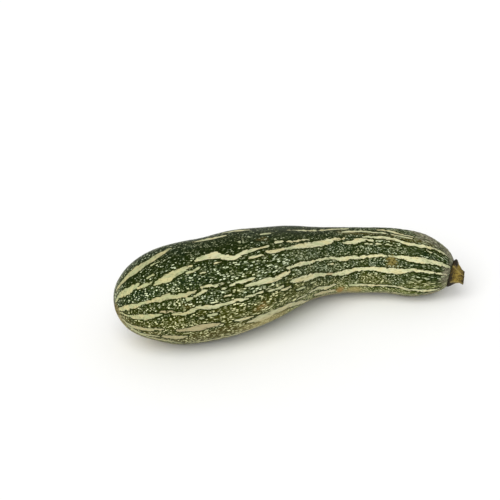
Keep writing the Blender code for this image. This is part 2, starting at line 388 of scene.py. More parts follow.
def natural_spline(knots, values):
    """The smooth curve through the values at the knots, straight at both ends, as a function."""
    knots = np.asarray(knots, float)
    values = np.asarray(values, float)
    steps = np.diff(knots)
    rises = np.diff(values) / steps
    system = np.eye(len(knots))
    bends = np.zeros(len(knots))
    for i in range(1, len(knots) - 1):
        system[i, i - 1 : i + 2] = steps[i - 1], 2 * (steps[i - 1] + steps[i]), steps[i]
        bends[i] = 6 * (rises[i] - rises[i - 1])
    bends = np.linalg.solve(system, bends)

    def value(distance):
        distance = np.asarray(distance, float)
        i = np.clip(np.searchsorted(knots, distance) - 1, 0, len(steps) - 1)
        before = (knots[i + 1] - distance) / steps[i]
        after = 1 - before
        curve = (before**3 - before) * bends[i] + (after**3 - after) * bends[i + 1]
        return before * values[i] + after * values[i + 1] + curve * steps[i] ** 2 / 6

    return value


STATION_X, STATION_RADIUS, STATION_BEND, STATION_UNDERSIDE = zip(*FRUIT_STATIONS)
LENGTH = STATION_X[-1]
section_radius = natural_spline(STATION_X, STATION_RADIUS)
bend = natural_spline(STATION_X, STATION_BEND)
underside = natural_spline(STATION_X, STATION_UNDERSIDE)


def fruit_middle(x):
    """The middle of the round section at each distance x."""
    return np.stack([x, bend(x), underside(x) + section_radius(x)], axis=-1)


def fruit_frame(x):
    """Unit vectors along the fruit, to its +Y side and up, at each distance x."""
    reach = 0.5
    ahead = fruit_middle(x + reach) - fruit_middle(x - reach)
    ahead /= np.linalg.norm(ahead, axis=-1, keepdims=True)
    side = np.cross((0.0, 0.0, 1.0), ahead)
    side /= np.linalg.norm(side, axis=-1, keepdims=True)
    return ahead, side, np.cross(ahead, side)


def cap_share(distance, length, power):
    """The share of the full radius at a distance from the tip of a rounded end: from 0 to 1."""
    inward = np.clip(1 - distance / length, 0, 1)
    return (1 - inward**power) ** (1 / power)


def fruit_radius(x):
    """The section's radius at each distance x, rounded off at the blossom end and down to the seat."""
    radius = section_radius(x) * cap_share(x, BLOSSOM_CAP_LENGTH, BLOSSOM_CAP_POWER)
    shoulder = cap_share(LENGTH - x, STEM_CAP_LENGTH, STEM_CAP_POWER)
    return np.where(x > LENGTH / 2, SEAT_RADIUS + (radius - SEAT_RADIUS) * shoulder, radius)


def even_rings(run, count, crowding, *values):
    """The run of skin and the other values at each ring, pole to pole, closer towards both if crowded."""
    even = np.linspace(0, 1, count + 1)
    crowded = (1 - np.cos(math.pi * even)) / 2
    wanted = run[-1] * (crowding * crowded + (1 - crowding) * even)
    return [wanted] + [np.interp(wanted, run, each) for each in values]


def fractal(points, spacing):
    """Smooth noise between about -1 and 1 at each point, in features of the spacing and of half of it."""
    fall, step, octaves = 1.0, 2.0, 2
    return np.array([noise.fractal(point, fall, step, octaves) for point in (points / spacing).tolist()])


def turn_from(degrees, middle):
    """How far an angle is from the middle one, from -180 to 180 degrees."""
    return (degrees - middle + 180) % 360 - 180


def fine_sphere(name, sides, rings, place):
    """A mesh object from a grid that is closed to a sphere, and its points moved to place(ring, angle).

    place also gives the facts about each point, which the material reads as attributes.
    """
    pole_gap, merge_gap = 1e-6, 1e-5
    shape = bmesh.new()
    bmesh.ops.create_grid(shape, x_segments=sides, y_segments=rings, size=1.0)
    for vertex in shape.verts:
        turn = math.pi * (vertex.co.x + 1)
        fall = math.pi * (vertex.co.y + 1) / 2
        level = math.sin(fall) if abs(vertex.co.y) < 1 - pole_gap else 0.0
        vertex.co = level * math.cos(turn), level * math.sin(turn), -math.cos(fall)
    bmesh.ops.remove_doubles(shape, verts=shape.verts, dist=merge_gap)
    bmesh.ops.recalc_face_normals(shape, faces=shape.faces)
    mesh = bpy.data.meshes.new(name)
    shape.to_mesh(mesh)
    shape.free()
    flat = np.empty(len(mesh.vertices) * 3, np.float32)
    mesh.vertices.foreach_get("co", flat)
    points = flat.reshape(-1, 3).astype(float)
    ring = np.rint(np.arccos(np.clip(-points[:, 2], -1, 1)) / math.pi * rings).astype(int)
    placed, facts = place(ring, np.arctan2(points[:, 1], points[:, 0]))
    mesh.vertices.foreach_set("co", np.ascontiguousarray(placed * MM, np.float32).ravel())
    mesh.update()
    mesh.shade_smooth()
    for fact, values in facts.items():
        kind, field = ("FLOAT", "value") if values.ndim == 1 else ("FLOAT_VECTOR", "vector")
        attribute = mesh.attributes.new(fact, kind, "POINT")
        attribute.data.foreach_set(field, np.ascontiguousarray(values, np.float32).ravel())
    thing = bpy.data.objects.new(name, mesh)
    bpy.context.scene.collection.objects.link(thing)
    return thing


def hidden_stripes():
    """Broken, wandering stripes on the lanes that the front doesn't show, by a seeded rule.

    A pair of numbers is the range of a random draw. Lengths are in mm, and the wander is in degrees.
    """
    first_start, last_start, last_end = (5, 30), 245, 262
    spans, gaps, step = (24, 70), (4, 18), 10
    widths, swells, least_width = (2.2, 5.2), (0.75, 1.1), 1.2
    wander, warmths = (-3.5, 3.5), (0.1, 0.9)
    thin_end, thick_middle = 0.12, 0.76
    draw = np.random.default_rng(HIDDEN_SEED)
    stripes = []
    for lane in HIDDEN_LANES:
        start = draw.uniform(*first_start)
        while start < last_start:
            span = draw.uniform(*spans)
            end = min(start + span, last_end)
            steps = max(3, int(span / step))
            width = draw.uniform(*widths)
            points = []
            for i in range(steps + 1):
                share = i / steps
                swell = math.sin(math.pi * (thin_end + thick_middle * share)) * draw.uniform(*swells)
                angle = lane + draw.uniform(*wander)
                points.append((start + (end - start) * share, angle, max(least_width, width * swell)))
            stripes.append((draw.uniform(*warmths), *points))
            start = end + draw.uniform(*gaps)
    return stripes


def dash_stripes():
    """The short dashes as two-point stripes."""
    return [
        (DASH_WARMTH, (middle - length / 2, angle, width), (middle + length / 2, angle, width))
        for middle, angle, length, width in DASHES
    ]


def stripe_field(run, angle, radius):
    """How far inside a stripe each point lies, in mm and below zero outside, and the stripe's warmth."""
    inside = np.full(len(run), -STRIPE_REACH)
    warmth = np.zeros(len(run))
    around = np.degrees(angle)
    for tone, *points in (*STRIPES, *dash_stripes(), *hidden_stripes()):
        for (start, start_angle, start_width), (end, end_angle, end_width) in zip(points, points[1:]):
            lower, upper = min(start, end) - STRIPE_REACH, max(start, end) + STRIPE_REACH
            near = np.flatnonzero((run > lower) & (run < upper))
            across = np.radians(turn_from(around[near], start_angle)) * radius[near]
            across_end = math.radians(turn_from(end_angle, start_angle)) * radius[near]
            along, along_end = run[near] - start, end - start
            share = (along * along_end + across * across_end) / (along_end**2 + across_end**2)
            share = np.clip(share, 0, 1)
            gap = np.hypot(along - share * along_end, across - share * across_end)
            depth = (start_width + (end_width - start_width) * share) / 2 - gap
            better = depth > inside[near]
            inside[near[better]] = depth[better]
            warmth[near[better]] = tone
    return inside, warmth


def blemish(run, angle, radius, place):
    """A soft round mask of 1 at the blemish's middle, falling to about a third at its reach and then to 0."""
    middle_run, middle_angle, along, across = place
    turn = turn_from(np.degrees(angle), middle_angle)
    away = ((run - middle_run) / along) ** 2 + (np.radians(turn) * radius / across) ** 2
    return np.exp(-away)


def coarse_relief(x, radius, angle):
    """How far the skin stands out of the round section in the construction, in mm: ribs and slow swells."""
    near_stem = np.exp(-(LENGTH - x) / RIB_FADE)
    rib = RIB_HEIGHT_BODY + (RIB_HEIGHT_SHOULDER - RIB_HEIGHT_BODY) * near_stem
    height = rib * np.cos(RIB_COUNT * angle + RIB_TURN)
    for rise, along, about, phase in UNEVENNESS:
        height = height + rise * np.sin(math.tau * along * x / LENGTH + about * angle + phase)
    return height * np.clip(radius / SEAT_RADIUS - 1, 0, 1)


def skin_masks(run, angle, radius):
    """How much of each patch, zone and film, and of the painted shade on top, every point of the skin has."""
    brown, teal = (
        np.clip(sum(blemish(run, angle, radius, patch) for patch in patches), 0, 1)
        for patches in (BROWN_PATCHES, TEAL_PATCHES)
    )
    crowd = sum(strength * blemish(run, angle, radius, patch) for *patch, strength in CROWDS)
    belly = blemish(run, angle, radius, BELLY_SPOT)
    belly += blemish(run, angle, radius, PALE_PATCH)
    belly += WAIST_PALENESS * blemish(run, angle, radius, WAIST_PATCH)
    # Painted shade on the upper side, fading out towards both ends.
    deep = np.clip((np.sin(angle) - TOP_SHADE_RISE) / TOP_SHADE_RISE_GROWTH, 0, 1)
    deep *= np.clip((TOP_SHADE_END - run) / TOP_SHADE_END_GROWTH, 0, 1)
    deep *= np.clip((run - TOP_SHADE_START) / TOP_SHADE_START_GROWTH, 0, 1)
    film = np.clip((run - FILM_START) / FILM_AND_REFLECTION_GROWTH, 0, 1)
    # The lane along the lower edge of the neck is partly a painted reflection.
    for start, middle, spread in FILM_AND_REFLECTION_LANES:
        turn = turn_from(np.degrees(angle), middle)
        lane = np.clip((run - start) / FILM_AND_REFLECTION_GROWTH, 0, 1) * np.exp(-((turn / spread) ** 2))
        film = np.maximum(film, lane)
    return {"brown": brown, "teal": teal, "belly": belly, "deep": deep, "crowd": crowd, "film": film}


def make_skin(look):
    """The skin, with rings closest at both ends, in the middle of the solid's box and inside it."""
    sweep_steps, seat_steps, ring_crowding = 4000, 200, 0.5
    sweep = (1 - np.cos(np.linspace(0, math.pi, sweep_steps))) / 2
    dense_x = np.append(LENGTH * sweep, np.full(seat_steps, LENGTH))
    dense_radius = np.append(fruit_radius(LENGTH * sweep), np.linspace(SEAT_RADIUS, 0, seat_steps))
    dense_run = np.append(0, np.cumsum(np.hypot(np.diff(dense_x), np.diff(dense_radius))))
    ring_run, ring_x, ring_radius = even_rings(dense_run, look.rings, ring_crowding, dense_x, dense_radius)
    low, high = (np.array(corner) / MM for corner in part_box("fruit"))

    def place(ring, angle):
        x = ring_x[ring]
        radius = ring_radius[ring]
        run = ring_run[ring]
        ahead, side, up = fruit_frame(x)
        sideways, rise = np.cos(angle), np.sin(angle)
        out = side * sideways[:, None] + up * rise[:, None]
        straight = np.stack([radius * sideways, radius * rise, x], axis=-1)
        lanes = np.stack([LANE_RADIUS * sideways, LANE_RADIUS * rise, run], axis=-1)
        inside, warmth = stripe_field(run, angle, radius)
        callus = blemish(run, angle, radius, CALLUS)
        orange = blemish(run, angle, radius, ORANGE_SCAR)
        orange += RUST_STRENGTH * blemish(run, angle, radius, RUST_SPOT)

        off_pole = np.clip(radius / SEAT_RADIUS - 1, 0, 1)
        near_stem = np.exp(-(LENGTH - x) / SHOULDER_FADE) * off_pole
        furrows = fractal(lanes * (1, 1, FURROW_SHORTENING), FURROW_WIDTH) * FURROW_HEIGHT * near_stem
        knobs = fractal(straight, KNOB_WIDTH) * (KNOB_HEIGHT_SHOULDER * near_stem + KNOB_HEIGHT_BODY)
        dimples = fractal(straight, DIMPLE_WIDTH) * DIMPLE_HEIGHT * off_pole
        sunken = -STRIPE_DEPTH * np.clip(inside / STRIPE_SLOPE + 0.5, 0, 1) * off_pole
        wart = WART_HEIGHT * callus * (1 + WART_ROUGHNESS * fractal(straight, WART_GRAIN))
        wart += ORANGE_SCAR_HEIGHT * orange
        inset = look.inset / MM * np.clip(radius / POLE_RADIUS, 0, 1)
        fine = furrows + knobs + dimples + sunken + wart - inset
        spread = radius + coarse_relief(x, radius, angle) + fine
        rim = np.exp(-(((radius - SCAR_RADIUS) / SCAR_RIM_WIDTH) ** 2)) * (x < LENGTH / 2) * SCAR_RIM_HEIGHT
        points = fruit_middle(x) + out * np.maximum(spread, 0)[:, None] - ahead * rim[:, None]
        middle = (points.min(axis=0) + points.max(axis=0)) / 2
        points[:, :2] += (low + high)[:2] / 2 - middle[:2]
        points = np.clip(points, low, high)

        facts = {
            "straight": straight,
            "lanes": lanes,
            "stripe": inside,
            "warmth": warmth,
            "run": run,
            "rise": rise,
            "callus": callus,
            "orange": orange,
            **skin_masks(run, angle, radius),
        }
        return points, facts

    return fine_sphere("skin", look.sides, look.rings, place)


MIX = {"data_type": "RGBA"}
EASE = {"interpolation_type": "SMOOTHSTEP"}
TIMES = {"operation": "MULTIPLY"}
TIMES_PLUS = {"operation": "MULTIPLY_ADD"}
PLUS = {"operation": "ADD"}
LARGER = {"operation": "MAXIMUM"}
MINUS = {"operation": "SUBTRACT"}


def fill_inputs(tree, node, inputs):
    """Fills a node's inputs, by name or number, with values, other nodes, or their outputs."""
    for name, value in inputs.items():
        if isinstance(value, bpy.types.Node):
            value = next(output for output in value.outputs if output.enabled)
        if isinstance(value, bpy.types.NodeSocket):
            tree.links.new(value, node.inputs[name])
        else:
            node.inputs[name].default_value = value


def add_node(tree, kind, settings, inputs):
    """Adds a node to a material, with its properties set and its inputs filled."""
    node = tree.nodes.new("ShaderNode" + kind)
    for name, value in settings.items():
        setattr(node, name, value)
    fill_inputs(tree, node, inputs)
    return node


def new_material(name):
    """A material, a function that adds a node to it, and one that fills the inputs of its surface."""
    material = bpy.data.materials.new(name)
    material.use_nodes = True
    tree = material.node_tree
    add = functools.partial(add_node, tree)
    return material, add, functools.partial(fill_inputs, tree, tree.nodes["Principled BSDF"])


def ramp(value, low, high, start=0.0, end=1.0):
    """The inputs of a node that carries a value from low..high to start..end."""
    return {"Value": value, "From Min": low, "From Max": high, "To Min": start, "To Max": end}


def drawn_out(share):
    """The scale of a pattern that is drawn out along the fruit: a smaller share makes it longer."""
    return (1.0, 1.0, share)


def flecks(add, place, crowding, spacing, stretch, radius, spread, light):
    """Pale flecks, long along the fruit, each of its own size and brightness: how covered a point is.

    The spacing is in mm. The radius, and its spread from fleck to fleck, are shares of the spacing.
    """
    shaken, crowding_gain, dimmest = 0.6, 0.08, 0.16
    frayed, softness = 0.55, 0.07
    scaled = add("Mapping", {}, {"Vector": place, "Scale": drawn_out(1.0 / stretch)})
    shake = add("TexNoise", {}, {"Vector": scaled, "Scale": 1.3 / spacing, "Detail": 1})
    away = add("VectorMath", {"operation": "SCALE"}, {0: shake.outputs["Color"], "Scale": spacing * shaken})
    moved = add("VectorMath", PLUS, {0: scaled, 1: away})
    cells = add("TexVoronoi", {"feature": "F1"}, {"Vector": moved, "Scale": 1.0 / spacing, "Randomness": 0.9})
    own = add("SeparateColor", {}, {0: cells.outputs["Color"]})
    size = add("Math", TIMES_PLUS, {0: own.outputs["Red"], 1: spread, 2: radius - spread / 2})
    crowded = add("Math", TIMES_PLUS, {0: crowding, 1: crowding_gain, 2: size})
    edge = add("Math", MINUS, {0: crowded, 1: cells.outputs["Distance"]})
    fray = add("TexNoise", {}, {"Vector": scaled, "Scale": 2.6 / spacing, "Detail": 2, "Roughness": 0.6})
    edge = add("Math", TIMES_PLUS, {0: fray, 1: frayed, 2: edge})
    cover = add("MapRange", EASE, ramp(edge, frayed / 2 - softness, frayed / 2 + softness))
    shine = add("Math", TIMES, {0: own.outputs["Green"], 1: own.outputs["Green"]})
    bright = add("MapRange", {}, ramp(shine, 0, 1.0, dimmest, light))
    bright = add("Math", TIMES_PLUS, {0: fray, 1: 0.6, 2: bright})
    bright = add("Math", MINUS, {0: bright, 1: 0.25})
    return add("Math", TIMES, {0: cover, 1: bright})


def skin_material(look):
    """Grown rind under a thin wax: satin, a little pale where seen edge-on, with its flecks in the rind."""
    material, add, fill_surface = new_material("Squash rind, grown, waxy")
    fact = {}
    for output, names in (
        ("Vector", ("straight", "lanes")),
        ("Fac", ("stripe", "warmth", "run", "rise", "callus", "orange")),
        ("Fac", ("brown", "teal", "belly", "deep", "crowd", "film")),
    ):
        for name in names:
            fact[name] = add("Attribute", {"attribute_name": name}, {}).outputs[output]
    straight, lanes, run = fact["straight"], fact["lanes"], fact["run"]

    # Slow drifts of the colour, and where the flecks crowd.
    drift = add("TexNoise", {}, {"Vector": straight, "Scale": 1 / DRIFT_SIZE, "Detail": 2})
    patch = add("TexNoise", {}, {"Vector": straight, "Scale": 1 / PATCH_SIZE, "Detail": 2})
    loose = add("Math", MINUS, {0: patch, 1: 0.5})
    crowding = add("Math", PLUS, {0: loose, 1: fact["crowd"]})
    crowding = add("Math", TIMES_PLUS, {0: fact["teal"], 1: -0.8, 2: crowding})
    # Fewer flecks under the painted shade on top.
    crowding = add("Math", TIMES_PLUS, {0: fact["deep"], 1: -1.2, 2: crowding})

    # The ground goes from deep green on top to olive below, with darker bluish and browned patches.
    on_neck = add("MapRange", EASE, ramp(run, *NECK_RUN))
    fall = add("Math", TIMES_PLUS, {0: fact["rise"], 1: -0.5, 2: drift})
    fall = add("Math", TIMES_PLUS, {0: on_neck, 1: -0.2, 2: fall})
    lowness = add("MapRange", EASE, ramp(fall, 0.12, 0.55))
    ground = add("Mix", MIX, {0: lowness, 6: look.deep_green, 7: look.olive_green})
    teal = add("MapRange", EASE, ramp(patch, 0.50, 0.36, 0, 0.5))
    teal = add("Math", LARGER, {0: teal, 1: fact["teal"]})
    ground = add("Mix", MIX, {0: teal, 6: ground, 7: look.teal_green})
    browned = add("Math", TIMES_PLUS, {0: patch, 1: 1.0, 2: fact["brown"]})
    browned = add("MapRange", EASE, ramp(browned, 0.80, 1.30, 0, 0.8))
    ground = add("Mix", MIX, {0: browned, 6: ground, 7: look.brown})
    haze = add("TexNoise", {}, {"Vector": straight, "Scale": 1 / HAZE_SIZE, "Detail": 3})
    haze = add("MapRange", EASE, ramp(haze, 0.42, 0.72, 0, 0.42))
    # Less haze under the painted shade on top.
    clear = add("Math", TIMES_PLUS, {0: fact["deep"], 1: -0.7, 2: 1.0})
    haze = add("Math", TIMES, {0: haze, 1: clear})
    past_bulb = add("MapRange", EASE, ramp(run, *PAST_BULB_RUN))
    under = add("MapRange", EASE, ramp(fact["rise"], 0.05, -0.45))
    under = add("Math", TIMES, {0: under, 1: past_bulb})
    haze = add("Math", TIMES_PLUS, {0: under, 1: 0.4, 2: haze})
    ground = add("Mix", MIX, {0: haze, 6: ground, 7: look.haze})

    # Small flecks, closer on the neck and drawn out into streaks towards the stem, and a few long ones.
    bulb_spacing, neck_spacing = look.speckle_spacing / MM, look.neck_spacing / MM
    bulb = flecks(add, straight, crowding, bulb_spacing, stretch=1.8, radius=0.43, spread=0.16, light=1.05)
    neck = flecks(add, straight, crowding, neck_spacing, stretch=2.2, radius=0.44, spread=0.16, light=0.8)
    streaks = flecks(add, lanes, crowding, neck_spacing, stretch=4.5, radius=0.37, spread=0.24, light=0.95)
    on_shoulder = add("MapRange", EASE, ramp(run, *SHOULDER_RUN))
    small = add("Mix", {}, {0: on_neck, 2: bulb, 3: neck})
    small = add("Mix", {}, {0: on_shoulder, 2: small, 3: streaks})
    long = flecks(add, straight, crowding, LONG_FLECK_SIZE, stretch=2.6, radius=0.03, spread=0.38, light=1.1)
    covered = add("Math", LARGER, {0: small, 1: long})

    # Ragged stripes, each with a dark rim that has no flecks.
    rags = add("Mapping", {}, {"Vector": straight, "Scale": drawn_out(0.45)})
    ragged = add("TexNoise", {}, {"Vector": rags, "Scale": 1 / RAGGED_SIZE, "Detail": 3, "Roughness": 0.65})
    frayed = 4.6
    edge = add("Math", TIMES_PLUS, {0: ragged, 1: frayed, 2: fact["stripe"]})
    edge = add("Math", MINUS, {0: edge, 1: frayed / 2})
    striped = add("MapRange", EASE, ramp(edge, -0.15, 0.2))
    bare = add("MapRange", EASE, ramp(edge, -1.3, -0.6, 1.0, 0.0))
    covered = add("Math", TIMES, {0: covered, 1: bare})
    # Dimmer flecks under the painted shade on top.
    dimmed = add("Math", TIMES_PLUS, {0: fact["deep"], 1: -0.25, 2: 1.0})
    dimmed = add("Math", TIMES_PLUS, {0: under, 1: 0.4, 2: dimmed})
    covered = add("Math", TIMES, {0: covered, 1: dimmed})
    ground = add("Mix", MIX, {0: bare, 6: look.outline, 7: ground})
    tint = add("Math", TIMES_PLUS, {0: patch, 1: 1.6, 2: lowness})
    tint = add("MapRange", EASE, ramp(tint, 0.6, 1.5))
    tint = add("Mix", MIX, {0: tint, 6: look.speckle_cool, 7: look.speckle})
    strong = add("MapRange", EASE, ramp(covered, 0, 0.6))
    tint = add("Mix", MIX, {0: strong, 6: look.speckle_dim, 7: tint})
    flecked = add("Mix", MIX, {0: covered, 6: ground, 7: tint})

    # The stripes' own colours: brighter on the neck, greener, yellower or tan in places, with olive veins.
    warmth = add("Math", TIMES_PLUS, {0: ragged, 1: 1.2, 2: fact["warmth"]})
    warm = add("MapRange", EASE, ramp(warmth, 0.75, 1.6))
    pale = add("MapRange", EASE, ramp(run, *BRIGHT_STRIPE_RUN))
    cream = add("Mix", MIX, {0: pale, 6: look.stripe, 7: look.neck_stripe})
    tone = add("Mapping", {}, {"Vector": straight, "Scale": drawn_out(0.4)})
    tone = add("TexNoise", {}, {"Vector": tone, "Scale": 1 / TONE_SIZE, "Detail": 3, "Roughness": 0.6})
    greener = add("MapRange", EASE, ramp(tone, 0.52, 0.36, 0, 0.7))
    cream = add("Mix", MIX, {0: greener, 6: cream, 7: look.fresh})
    warmer = add("MapRange", EASE, ramp(tone, 0.48, 0.64, 0, 0.7))
    cream = add("Mix", MIX, {0: warmer, 6: cream, 7: look.straw})
    stripe = add("Mix", MIX, {0: warm, 6: cream, 7: look.tan})
    veins = add("Mapping", {}, {"Vector": straight, "Scale": drawn_out(0.3)})
    veins = add("TexNoise", {}, {"Vector": veins, "Scale": 1 / VEIN_SIZE, "Detail": 2})
    veins = add("MapRange", EASE, ramp(veins, 0.48, 0.74, 0, 0.46))
    stripe = add("Mix", MIX, {0: veins, 6: stripe, 7: look.olive_green})
    skin = add("Mix", MIX, {0: striped, 6: flecked, 7: stripe})

    # The grey film on the shoulder, torn into streaks, with its lane along the lower edge of the neck partly
    # a painted reflection, and the paler belly.
    fibres = add("Mapping", {}, {"Vector": lanes, "Scale": drawn_out(0.12)})
    fibres = add("TexNoise", {}, {"Vector": fibres, "Scale": 1 / FILM_AND_REFLECTION_SIZE, "Detail": 3, "Roughness": 0.65})
    film = add("Math", TIMES_PLUS, {0: fibres, 1: 2.0, 2: fact["film"]})
    film = add("Math", TIMES_PLUS, {0: loose, 1: 1.2, 2: film})
    film = add("MapRange", EASE, ramp(film, 1.45, 2.1, 0, 0.8))
    scratched = add("Mapping", {}, {"Vector": lanes, "Scale": drawn_out(0.4)})
    torn = add("TexNoise", {}, {"Vector": scratched, "Scale": 1 / TEAR_SIZE, "Detail": 2})
    torn = add("MapRange", EASE, ramp(torn, 0.42, 0.58, 0.15, 1.0))
    film = add("Math", TIMES, {0: film, 1: torn})
    skin = add("Mix", MIX, {0: film, 6: skin, 7: look.bloom_and_reflection})
    spot = add("Math", TIMES_PLUS, {0: drift, 1: 0.8, 2: fact["belly"]})
    spot = add("MapRange", EASE, ramp(spot, 0.75, 1.4, 0, 0.8))
    skin = add("Mix", MIX, {0: spot, 6: skin, 7: look.ground_spot})

    # Scar, callus and the cork that the flower left.
    scarred = add("Math", TIMES_PLUS, {0: ragged, 1: 1.2, 2: fact["orange"]})
    scarred = add("MapRange", EASE, ramp(scarred, 0.85, 1.5, 0, 0.9))
    skin = add("Mix", MIX, {0: scarred, 6: skin, 7: look.scar})
    crust = add("TexNoise", {}, {"Vector": straight, "Scale": 1 / CORK_SIZE, "Detail": 3, "Roughness": 0.7})
    warted = add("Math", TIMES_PLUS, {0: crust, 1: 1.2, 2: fact["callus"]})
    warted = add("MapRange", EASE, ramp(warted, 0.85, 1.30, 0, 0.92))
    crusted = add("MapRange", EASE, ramp(crust, 0.42, 0.60))
    crusted = add("Mix", MIX, {0: crusted, 6: look.brown, 7: look.callus})
    skin = add("Mix", MIX, {0: warted, 6: skin, 7: crusted})
    corked = add("Math", TIMES_PLUS, {0: crust, 1: -3.0, 2: run})
    corked = add("MapRange", EASE, ramp(corked, *BLOSSOM_CORK_RUN))
    skin = add("Mix", MIX, {0: corked, 6: skin, 7: crusted})

    # Fine grain in the wax, which breaks up the gloss.
    grain = add("TexNoise", {}, {"Vector": straight, "Scale": 1 / GRAIN_SIZE, "Detail": 3})
    bump = add("Bump", {}, {"Height": grain, "Distance": GRAIN_HEIGHT * MM, "Strength": 0.6})
    surface = {
        "Base Color": skin,
        "Normal": bump,
        "Roughness": 0.45,
        "IOR": 1.45,
        "Specular IOR Level": 0.06,
        "Specular Tint": (0.9, 1.0, 0.3, 1),
        "Sheen Weight": 0.02,
        "Sheen Roughness": 0.4,
        "Sheen Tint": (0.9, 0.84, 0.6, 1),
    }
    fill_surface(surface)
    return material


def make_stub(look):
    """The stub, built standing on its foot and laid on the seat."""
    heights, radii, depths = zip(*STUB_STATIONS)
    radius_at = natural_spline(heights, radii)
    depth_at = natural_spline(heights, depths)
    wall_steps, end_steps, cut_gap = 800, 100, 0.01
    wall = np.linspace(heights[0], heights[-1], wall_steps)
    foot = np.linspace(0, 1, end_steps)
    cut = np.linspace(1, 0, end_steps)
    dense_height = np.concatenate([np.full(end_steps, heights[0]), wall, np.full(end_steps, heights[-1])])
    dense_radius = np.concatenate([foot * radii[0], radius_at(wall), cut * radii[-1]])
    dense_depth = np.concatenate([foot * depths[0], depth_at(wall), cut * depths[-1]])
    run = np.append(0, np.cumsum(np.hypot(np.diff(dense_height), np.diff(dense_radius))))
    _, ring_height, ring_radius, ring_depth = even_rings(
        run, look.rings, 0.0, dense_height, dense_radius, dense_depth
    )
    top = heights[-1]
    ahead, side, up = fruit_frame(np.array(LENGTH))
    facet = math.tau / STUB_ANGLES

    def place(ring, angle):
        height = ring_height[ring]
        share = height / top
        turned = angle - STUB_TURN - STUB_TWIST * share
        across = (turned + facet / 2) % facet - facet / 2
        flat = math.cos(facet / 2)
        mean = (1 + flat) / 2
        ridge = (flat / np.cos(facet / 2 - np.abs(across)) - mean) / (1 - mean)
        which = np.rint((turned % math.tau) / facet).astype(int) % STUB_ANGLES
        depth = ring_depth[ring] * np.array(STUB_RIDGES)[which]
        radius = ring_radius[ring] * (1 + depth * ridge)
        on_wall = np.clip(radius / STUB_WALL_RADIUS - 0.5, 0, 1)
        cosine, sine = np.cos(angle), np.sin(angle)
        grain = STUB_GRAIN_RADIUS
        straight = np.stack([grain * cosine, grain * sine, height * STUB_GRAIN_SHORTENING], axis=-1)
        lumps = np.stack([radius * cosine, radius * sine, height], axis=-1)
        foot_share = np.clip(1 - height / FOOT_HEIGHT, 0, 1)
        lump_height = STUB_LUMP_HEIGHT + STUB_LUMP_HEIGHT_FOOT * foot_share
        fibre = fractal(straight, STUB_GRAIN_WIDTH) * STUB_GRAIN_HEIGHT
        fibre += fractal(lumps, STUB_LUMP_WIDTH) * lump_height
        knob = np.zeros(len(angle))
        for middle, level, reach, height_of_knob in STUB_KNOBS:
            turn = turn_from(np.degrees(angle), middle)
            upward = (height - level) / (KNOB_FLATTENING * reach)
            away = (np.radians(turn) * radius / reach) ** 2 + upward**2
            knob = np.maximum(knob, height_of_knob * np.exp(-away))
        radius = radius + (fibre + knob) * on_wall
        sag = share**2
        x = radius * cosine
        y = radius * sine - STUB_SAG * sag
        on_cut = height > top - cut_gap
        hollow = PITH_DEPTH * np.clip(1 - radius / PITH_RADIUS, 0, 1)
        torn = fractal(lumps * (1, 1, 0), CUT_GRAIN_WIDTH) * CUT_GRAIN_HEIGHT * np.clip(radius / 2, 0, 1)
        slant = (STUB_CUT_TILT * y + STUB_CUT_SLANT * x) * sag
        z = height - slant - (hollow + torn) * on_cut - STUB_CREEP * knob * foot_share
        points = side * x[:, None] + up * y[:, None] + ahead * z[:, None]
        points += STUB_PLACE
        facts = {
            "stub": np.stack([x, y, z], axis=-1),
            "ridge": ridge,
            "height": height,
            "reach": radius,
            "cut": on_cut.astype(float),
            "knob": knob,
            "glow": np.exp(-(((height - LIT_BAND_HEIGHT) / LIT_BAND_REACH) ** 2)),
        }
        return points, facts

    return fine_sphere("stem_stub", look.sides, look.rings, place)


